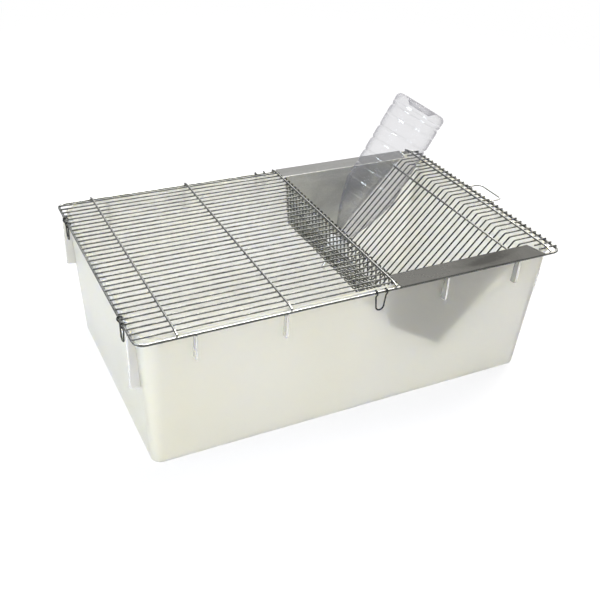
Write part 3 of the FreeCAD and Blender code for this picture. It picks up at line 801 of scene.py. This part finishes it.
def mixed(tree, share, first, second, kind="FLOAT"):
    """Two values or two colours mixed by a share; the Mix node has its own sockets for each kind."""
    socket, result = {"FLOAT": (2, 0), "RGBA": (6, 2)}[kind]
    links = {0: share, socket: first, socket + 1: second}
    return node(tree, "ShaderNodeMix", links, data_type=kind).outputs[result]


# %% Zinc
ZINC_CONTRAST = (0.36, 0.64)
SURFACE = [("Colour", COLOUR), ("Roughness", VALUE), ("Height", VALUE)]


def make_zinc():
    """Cloudy zinc: wide noise, stretched into smears, mixes two greys, and fine noise adds specks."""
    group, given, result = group_with(
        "zinc_patina",
        [
            ("Bright", COLOUR, (0.5, 0.5, 0.5, 1)),
            ("Dull", COLOUR, (0.3, 0.3, 0.3, 1)),
            ("Stretch", VECTOR, (1, 1, 1)),
            ("Cloud scale", VALUE, 20),
            ("Speck scale", VALUE, 900),
            ("Specks", VALUE, 0.4),
            ("Smooth", VALUE, 0.25),
            ("Rough", VALUE, 0.45),
        ],
        SURFACE,
    )
    value = given.outputs
    place = node(group, "ShaderNodeTexCoord").outputs["Object"]
    stretch = {0: place, 1: value["Stretch"]}
    drawn = node(group, "ShaderNodeVectorMath", stretch, operation="MULTIPLY").outputs[0]
    cloud = noise(group, drawn, value["Cloud scale"], detail=5, distortion=0.6)
    speck = noise(group, place, value["Speck scale"], detail=2)
    share = ramp(group, mixed(group, value["Specks"], cloud, speck), *ZINC_CONTRAST, 0, 1)
    tint = mixed(group, share, value["Dull"], value["Bright"], "RGBA")
    gloss = ramp(group, share, 0, 1, value["Rough"], value["Smooth"])
    for (label, _), socket in zip(SURFACE, (tint, gloss, speck)):
        group.links.new(socket, result.inputs[label])
    return group


zinc = make_zinc()
print("node group", zinc.name)

# %% Moulded plastic
BLOOM_CONTRAST = (0.35, 0.65)


def make_mould_bloom():
    """Moulded plastic: wide soft clouds in the colour and a fine spark-eroded texture."""
    group, given, result = group_with(
        "mould_bloom",
        [
            ("Clear", COLOUR, (0.9, 0.9, 0.86, 1)),
            ("Milky", COLOUR, (0.92, 0.92, 0.9, 1)),
            ("Cloud scale", VALUE, 5),
            ("Grain scale", VALUE, 700),
            ("Smooth", VALUE, 0.35),
            ("Rough", VALUE, 0.5),
        ],
        SURFACE,
    )
    value = given.outputs
    place = node(group, "ShaderNodeTexCoord").outputs["Object"]
    cloud = noise(group, place, value["Cloud scale"], detail=3)
    grain = noise(group, place, value["Grain scale"], detail=2)
    share = ramp(group, cloud, *BLOOM_CONTRAST, 0, 1)
    tint = mixed(group, share, value["Clear"], value["Milky"], "RGBA")
    gloss = ramp(group, grain, 0, 1, value["Smooth"], value["Rough"])
    for (label, _), socket in zip(SURFACE, (tint, gloss, grain)):
        group.links.new(socket, result.inputs[label])
    return group


mould_bloom = make_mould_bloom()
print("node group", mould_bloom.name)

# %% Shade by tilt
def make_tilt_shade():
    """Painted reflection: a colour times one shade on top, one on slopes and one on upright faces.

    With z the normal's upward part, the shade moves from the upright to the slope's one as |z| goes
    from 0 to Slope from, and from there to the top's one as z goes from Top from to 1.
    """
    group, given, result = group_with(
        "tilt_shade",
        [
            ("Colour", COLOUR, (0.5, 0.5, 0.5, 1)),
            ("Upright shade", VALUE, 1),
            ("Slope from", VALUE, 0.2),
            ("Slope shade", VALUE, 1),
            ("Top from", VALUE, 0.2),
            ("Top shade", VALUE, 1),
        ],
        [("Colour", COLOUR)],
    )
    value = given.outputs
    normal = node(group, "ShaderNodeTexCoord").outputs["Normal"]
    upward = node(group, "ShaderNodeSeparateXYZ", {"Vector": normal}).outputs["Z"]
    tilt = maths(group, "ABSOLUTE", upward)
    shade = ramp(group, tilt, 0, value["Slope from"], value["Upright shade"], value["Slope shade"], EASED)
    shade = ramp(group, upward, value["Top from"], 1, shade, value["Top shade"], EASED)
    scaled = {0: value["Colour"], "Scale": shade}
    shaded = node(group, "ShaderNodeVectorMath", scaled, operation="SCALE")
    group.links.new(shaded.outputs["Vector"], result.inputs["Colour"])
    return group


tilt_shade = make_tilt_shade()
print("node group", tilt_shade.name)

# %% [markdown]
# ## Metal
# Galvanised metal is a mirror under a dull skin, so Metallic is 1 and the patina gives the colour.
# One shiny grey for everything would look like chrome. The thick wires and the end loop are painted
# paler than the thin bars, as painted light, and the front plate darker than the back, as painted shade.

# %% Metal finishes
def finish_from(name, effect, values, bump, depth, **sockets):
    """A material whose colour, roughness and bump come from an effect, with plain values besides."""
    material = bpy.data.materials.new(name)
    material.use_nodes = True
    tree = material.node_tree
    shader = tree.nodes["Principled BSDF"]
    skin = node(tree, "ShaderNodeGroup", values, node_tree=effect)
    relief = {"Height": skin.outputs["Height"], "Strength": bump, "Distance": depth}
    dent = node(tree, "ShaderNodeBump", relief)
    tree.links.new(skin.outputs["Colour"], shader.inputs["Base Color"])
    tree.links.new(skin.outputs["Roughness"], shader.inputs["Roughness"])
    tree.links.new(dent.outputs["Normal"], shader.inputs["Normal"])
    for label, value in sockets.items():
        shader.inputs[label.replace("_", " ")].default_value = value
    return material


def dress(pieces, material):
    """Give pieces one material in place of any they had."""
    for piece in pieces:
        piece.data.materials.clear()
        piece.data.materials.append(material)


def shade_by_tilt(material, shades):
    """Put the tilt shade, a painted reflection with its own values, between colour and the shader."""
    tree = material.node_tree
    base = tree.nodes["Principled BSDF"].inputs["Base Color"]
    links = {"Colour": base.links[0].from_socket, **shades}
    shade = node(tree, "ShaderNodeGroup", links, node_tree=tilt_shade)
    tree.links.new(shade.outputs["Colour"], base)
    return material


def drawn_zinc(name, bright, dull, upright_shade):
    """Galvanised wire: cloudy patches and fine grain, with painted reflection dark on slopes, bright on
    top.
    """
    material = finish_from(
        name,
        zinc,
        {
            "Bright": bright,
            "Dull": dull,
            "Cloud scale": 60,
            "Speck scale": 700,
            "Smooth": 0.2,
            "Rough": 0.4,
        },
        bump=0.25,
        depth=0.0003,
        Metallic=1.0,
    )
    shades = {"Upright shade": upright_shade, "Slope shade": 0.28, "Top from": 0.66, "Top shade": 1.8}
    return shade_by_tilt(material, shades)


def sheet_zinc(name, bright, dull, top_shade):
    """Galvanised sheet: wide smears along its length, and painted reflection darkens faces that look up.
    """
    material = finish_from(
        name,
        zinc,
        {
            "Bright": bright,
            "Dull": dull,
            "Stretch": (0.35, 1, 0.8),
            "Cloud scale": 22,
            "Speck scale": 420,
            "Specks": 0.12,
            "Smooth": 0.26,
            "Rough": 0.44,
        },
        bump=0.05,
        depth=0.0003,
        Metallic=1.0,
    )
    return shade_by_tilt(material, {"Top shade": top_shade})


THIN_GREYS = ((0.135, 0.138, 0.132, 1), (0.042, 0.044, 0.042, 1))
# The thick wires' and the loop's greys are painted light: paler copies of the same galvanised zinc.
THICK_LIT_GREYS = ((0.32, 0.325, 0.31, 1), (0.11, 0.112, 0.108, 1))
LOOP_LIT_GREYS = ((0.6, 0.605, 0.59, 1), (0.4, 0.405, 0.39, 1))
# The front plate's greys are painted shade: the back plate's zinc made darker to show through the tub.
FRONT_PLATE_SHADED_GREYS = ((0.21, 0.208, 0.192, 1), (0.05, 0.0495, 0.0455, 1))
BACK_PLATE_GREYS = ((0.85, 0.85, 0.83, 1), (0.52, 0.525, 0.51, 1))

nozzle_steel = finish_from(
    "nozzle_steel",
    zinc,
    {
        "Bright": (0.66, 0.66, 0.65, 1),
        "Dull": (0.5, 0.5, 0.5, 1),
        "Cloud scale": 90,
        "Smooth": 0.12,
        "Rough": 0.25,
    },
    bump=0.05,
    depth=0.0002,
    Metallic=1.0,
)
front_plate, back_plate = frame["nodes"]["front_end_plate"], frame["nodes"]["back_end_plate"]
# Each wire finish's upright, slope and top shades are painted reflection, not the zinc's own colour.
dress([*bar_pieces, spot_welds], drawn_zinc("wire_zinc", *THIN_GREYS, upright_shade=3.6))
dress([frame_piece, *rung_pieces], drawn_zinc("rung_zinc_lit", *THICK_LIT_GREYS, upright_shade=1.2))
dress(clip_pieces, drawn_zinc("clip_zinc", *THIN_GREYS, upright_shade=0.7))
dress([end_loop], drawn_zinc("loop_zinc_lit", *LOOP_LIT_GREYS, upright_shade=0.5))
dress([front_plate], sheet_zinc("front_plate_zinc_shaded", *FRONT_PLATE_SHADED_GREYS, top_shade=0.56))
dress([back_plate], sheet_zinc("back_plate_zinc", *BACK_PLATE_GREYS, top_shade=0.32))
dress([tube, ball], nozzle_steel)
print(len(bar_pieces), "bars,", len(rung_pieces), "rungs and", len(clip_pieces), "clips are zinc")

# %% [markdown]
# ## Milky plastic
# The tub is natural plastic: light goes into its wall, scatters there and comes out on either side,
# so the front plate shows through as a soft shape. Plain white paint would hide it, and clear glass
# would show it sharply. Subsurface scattering with a rough transmission lies between the two.

# %% Tub, cap and seal finishes
def moulded_milk(name, clear, milky):
    """Natural plastic, as wide soft clouds of two whites that let light in and through."""
    return finish_from(
        name,
        mould_bloom,
        {"Clear": clear, "Milky": milky, "Smooth": 0.3, "Rough": 0.4},
        bump=0.05,
        depth=0.0004,
        Subsurface_Weight=1.0,
        Subsurface_Radius=(0.85, 0.9, 1.3),
        Subsurface_Scale=0.006,
        Transmission_Weight=0.74,
        IOR=1.49,
    )


tub_milk = moulded_milk("tub_milk", (0.89, 0.881, 0.785, 1), (0.905, 0.903, 0.845, 1))
# The ribs and gussets are the tub's own plastic; their darker whites are painted shade.
shaded_brace_milk = moulded_milk("shaded_brace_milk", (0.62, 0.61, 0.54, 1), (0.65, 0.64, 0.58, 1))
cap_white = finish_from(
    "cap_white",
    mould_bloom,
    {
        "Clear": (0.80, 0.80, 0.82, 1),
        "Milky": (0.84, 0.84, 0.85, 1),
        "Cloud scale": 40,
        "Grain scale": 1500,
    },
    bump=0.08,
    depth=0.0003,
)
seal_black = finish_from(
    "seal_black",
    mould_bloom,
    {"Clear": (0.03, 0.03, 0.03, 1), "Milky": (0.05, 0.05, 0.05, 1), "Smooth": 0.6, "Rough": 0.8},
    bump=0.1,
    depth=0.0003,
)
dress([tub_shell], tub_milk)
dress([tub_braces], shaded_brace_milk)
dress([cap], cap_white)
dress([seal], seal_black)
print("plastic finishes:", tub_milk.name, shaded_brace_milk.name, cap_white.name, seal_black.name)

# %% [markdown]
# ## Clear plastic
# The bottle is thin and clear, so what stands behind it is seen where it is. A glass shader bends
# light as a solid block would and leaves jagged edges on so thin a wall. Here the plastic is a faint
# film instead, and its alpha says how much of the wall is seen. The film thickens where the wall is
# seen edge on, a glossy coat in the ring grooves catches the lamps, and a painted shade darkens
# the base's dish.

# %% Ring mask
GROOVE_SHINE = 2.2


def make_ring_shine():
    """A mask for rings on a spun piece: 1 on a ring and 0 beyond a width to either side of it.

    Height along the axis is (place - mouth) . axis. The distance to a row of rings is a ping-pong
    of the height from the row's start by half the pitch, and the lone ring has its own distance.
    """
    group, given, result = group_with(
        "ring_shine",
        [
            ("Mouth", VECTOR, (0, 0, 0)),
            ("Axis", VECTOR, (0, 0, 1)),
            ("Row start", VALUE, 0),
            ("Pitch", VALUE, 0.02),
            ("Lone ring", VALUE, 0.2),
            ("Width", VALUE, 0.005),
        ],
        [("Mask", VALUE)],
    )
    value = given.outputs
    place = node(group, "ShaderNodeTexCoord").outputs["Object"]
    arm = node(group, "ShaderNodeVectorMath", {0: place, 1: value["Mouth"]}, operation="SUBTRACT")
    along = {0: arm.outputs[0], 1: value["Axis"]}
    height = node(group, "ShaderNodeVectorMath", along, operation="DOT_PRODUCT").outputs["Value"]
    half_pitch = maths(group, "DIVIDE", value["Pitch"], 2)
    row = maths(group, "PINGPONG", maths(group, "SUBTRACT", height, value["Row start"]), half_pitch)
    lone = maths(group, "ABSOLUTE", maths(group, "SUBTRACT", height, value["Lone ring"]))
    mask = ramp(group, maths(group, "MINIMUM", row, lone), 0, value["Width"], 1, 0, EASED)
    group.links.new(mask, result.inputs["Mask"])
    return group


def ring_mask(tree):
    """The ring shine, set on the bottle's grooves."""
    base = outside[:, 1].max()
    places = {
        "Mouth": mouth * MM,
        "Axis": up_axis,
        "Row start": (base - GROOVES_FROM_BASE[-1]) * MM,
        "Pitch": GROOVE_PITCH * MM,
        "Lone ring": (base - GROOVES_FROM_BASE[0]) * MM,
        "Width": GROOVE_SHINE * MM,
    }
    return node(tree, "ShaderNodeGroup", places, node_tree=make_ring_shine()).outputs["Mask"]


# %% Bottle finish
CLEAR_FILM = 0.105
EDGE_FILM = 0.75
EDGE_SHARPNESS = 4.0
RING_FILM = 0.2
# The dish's darkening below is painted shade, not dirt.
DISH_SHADE_FILM = 0.9
DISH_SHADE_REACH = 26.0
DISH_SHADE_SCALE = 70


def edge_film(tree):
    """A faint film that thickens where the wall is seen edge on, by a power of the facing."""
    facing = node(tree, "ShaderNodeLayerWeight", {"Blend": 0.5}).outputs["Facing"]
    return ramp(tree, maths(tree, "POWER", facing, EDGE_SHARPNESS), 0, 1, CLEAR_FILM, EDGE_FILM)


def dish_painted_shade(tree):
    """Painted shade in the base's dish: smears that fade with the distance from its middle."""
    place = node(tree, "ShaderNodeTexCoord").outputs["Object"]
    dish = mouth + (outside[:, 1].max() - BASE_DISH) * up_axis
    apart = node(tree, "ShaderNodeVectorMath", {0: place, 1: dish * MM}, operation="DISTANCE")
    near = ramp(tree, apart.outputs["Value"], 0, DISH_SHADE_REACH * MM, DISH_SHADE_FILM, 0)
    return maths(tree, "MULTIPLY", near, noise(tree, place, DISH_SHADE_SCALE, detail=2))


def clear_plastic():
    """Thin clear plastic: almost all light passes, and the little that the wall keeps is its alpha.

    Alpha is the largest of a faint film that thickens where the wall is seen edge on, the ring mask
    and the painted shade in the dish, so the rings' coat catches the lamps and the rest stays clear.
    """
    material = finish_from(
        "bottle_clear",
        mould_bloom,
        {
            "Clear": (0.17, 0.167, 0.195, 1),
            "Milky": (0.21, 0.207, 0.23, 1),
            "Cloud scale": 30,
            "Grain scale": 90,
            "Smooth": 0.03,
            "Rough": 0.08,
        },
        bump=0.1,
        depth=0.001,
        Specular_IOR_Level=0.1,
        Coat_Roughness=0.03,
        Coat_IOR=3.2,
    )
    tree = material.node_tree
    shader = tree.nodes["Principled BSDF"]
    mask = ring_mask(tree)
    tree.links.new(mask, shader.inputs["Coat Weight"])
    alpha = edge_film(tree)
    for layer in (maths(tree, "MULTIPLY", mask, RING_FILM), dish_painted_shade(tree)):
        alpha = maths(tree, "MAXIMUM", alpha, layer)
    tree.links.new(alpha, shader.inputs["Alpha"])
    return material


dress([bottle], clear_plastic())
print(len(GROOVES_FROM_BASE), "rings shine on the bottle")

# %% [markdown]
# ## Floor, light and camera
# The box stands on a white sweep. The floor is lit like any surface, so it keeps the shadow, and
# for rays from the camera, mirrors and glass a share of plain white is mixed in, which holds the
# background white without more light on the box. The share grows with distance, so no edge of the
# floor shows. A pale sky and three soft lamps do the rest: a large one above, a small warm one on
# the right and a cool one on the left.

# %% Floor
FLOOR_HALF = 9000
FLOOR_WHITE = (0.88, 0.87, 0.92, 1)
WHITE_SHARE = 0.81
SHADOW_REACH = np.array([700, 2000])

floor_points = np.array([(-1, -1, 0), (1, -1, 0), (1, 1, 0), (-1, 1, 0)], float) * FLOOR_HALF
floor_mesh = bpy.data.meshes.new("floor")
floor_mesh.from_pydata(floor_points * MM, [], [(0, 1, 2, 3)])
floor = bpy.data.objects.new("floor", floor_mesh)
bpy.context.scene.collection.objects.link(floor)


def seen_directly(tree):
    """1 for rays from the camera, a mirror or glass, and 0 for rays that carry light."""
    path = node(tree, "ShaderNodeLightPath")
    seen = path.outputs["Is Camera Ray"]
    for label in ("Is Glossy Ray", "Is Transmission Ray"):
        seen = maths(tree, "MAXIMUM", seen, path.outputs[label])
    return seen


def floor_finish():
    """A pale floor mixed with plain white where it is seen; the white's share grows with distance."""
    material = bpy.data.materials.new("white_sweep")
    material.use_nodes = True
    tree = material.node_tree
    shader = tree.nodes["Principled BSDF"]
    shader.inputs["Base Color"].default_value = FLOOR_WHITE
    shader.inputs["Roughness"].default_value = 0.9
    shader.inputs["Specular IOR Level"].default_value = 0.1
    white = node(tree, "ShaderNodeEmission", {"Color": (1, 1, 1, 1), "Strength": 1.0})
    place = node(tree, "ShaderNodeTexCoord").outputs["Object"]
    away = node(tree, "ShaderNodeVectorMath", {0: place}, operation="LENGTH").outputs["Value"]
    near, far = SHADOW_REACH * MM
    share = maths(tree, "MULTIPLY", seen_directly(tree), ramp(tree, away, near, far, WHITE_SHARE, 1))
    mix = node(tree, "ShaderNodeMixShader", {0: share, 1: shader.outputs[0], 2: white.outputs[0]})
    tree.links.new(mix.outputs[0], tree.nodes["Material Output"].inputs["Surface"])
    return material


floor.data.materials.append(floor_finish())
print("floor", 2 * FLOOR_HALF, "mm wide")

# %% Light
SKY_LIGHT = 0.49
LAMP_TARGET = np.array([0, 0, 150])


def sky():
    """A pale even sky for light, and plain white where it is seen."""
    world = bpy.data.worlds.new("studio")
    world.use_nodes = True
    tree = world.node_tree
    back = tree.nodes["Background"]
    back.inputs["Color"].default_value = (1.0, 1.0, 1.0, 1)
    back.inputs["Strength"].default_value = SKY_LIGHT
    white = node(tree, "ShaderNodeBackground", {"Color": (1, 1, 1, 1), "Strength": 1.0})
    seen = seen_directly(tree)
    mix = node(tree, "ShaderNodeMixShader", {0: seen, 1: back.outputs[0], 2: white.outputs[0]})
    tree.links.new(mix.outputs[0], tree.nodes["World Output"].inputs["Surface"])
    return world


def soft_lamp(name, place, size, watts, colour):
    """A square lamp that looks from its place, which isn't straight above, to the lamps' target."""
    lamp = bpy.data.lights.new(name, "AREA")
    lamp.shape, lamp.size = "SQUARE", size * MM
    lamp.energy, lamp.color = watts, colour
    item = bpy.data.objects.new(name, lamp)
    back = unit(np.array(place, float) - LAMP_TARGET)
    right = unit(np.cross(Z_AXIS, back))
    turn = np.eye(4)
    turn[:3, :3] = np.stack([right, np.cross(back, right), back], axis=1)
    turn[:3, 3] = np.array(place) * MM
    item.matrix_world = Matrix(turn)
    bpy.context.scene.collection.objects.link(item)


bpy.context.scene.world = sky()
soft_lamp("top_softbox", (450, 450, 1850), size=1300, watts=61, colour=(1, 0.985, 0.955))
soft_lamp("right_softbox", (1200, 200, 1450), size=320, watts=10, colour=(1, 0.9, 0.76))
soft_lamp("left_softbox", (-1700, -300, 1100), size=1000, watts=32, colour=(0.79, 0.895, 1))
print(len(bpy.data.lights), "lamps")

# %% Camera
EYE = (-486.07, -905.92, 735.84)
AZIMUTH, ELEVATION, ROLL = np.radians([28.165, 32.59, -3.55])
FOCAL_PIXELS, PICTURE_PIXELS, SENSOR = 848.7, 600, 36
SIGHT_METRES = 100

level_share = np.cos(ELEVATION)
forward = np.array([np.sin(AZIMUTH) * level_share, np.cos(AZIMUTH) * level_share, -np.sin(ELEVATION)])
level = np.array([np.cos(AZIMUTH), -np.sin(AZIMUTH), 0])
down = np.cross(forward, level)
right = np.cos(ROLL) * level + np.sin(ROLL) * down
drop = np.cos(ROLL) * down - np.sin(ROLL) * level
pose = np.eye(4)
pose[:3, :3] = np.stack([right, -drop, -forward], axis=1)
pose[:3, 3] = np.array(EYE) * MM
camera = bpy.data.objects.new("camera", bpy.data.cameras.new("camera"))
camera.data.sensor_width = SENSOR
camera.data.lens = FOCAL_PIXELS / PICTURE_PIXELS * SENSOR
camera.data.clip_end = SIGHT_METRES
camera.matrix_world = Matrix(pose)
bpy.context.scene.collection.objects.link(camera)
bpy.context.scene.camera = camera
bpy.context.scene.view_settings.view_transform = "Standard"
print("lens", round(camera.data.lens, 1), "mm")
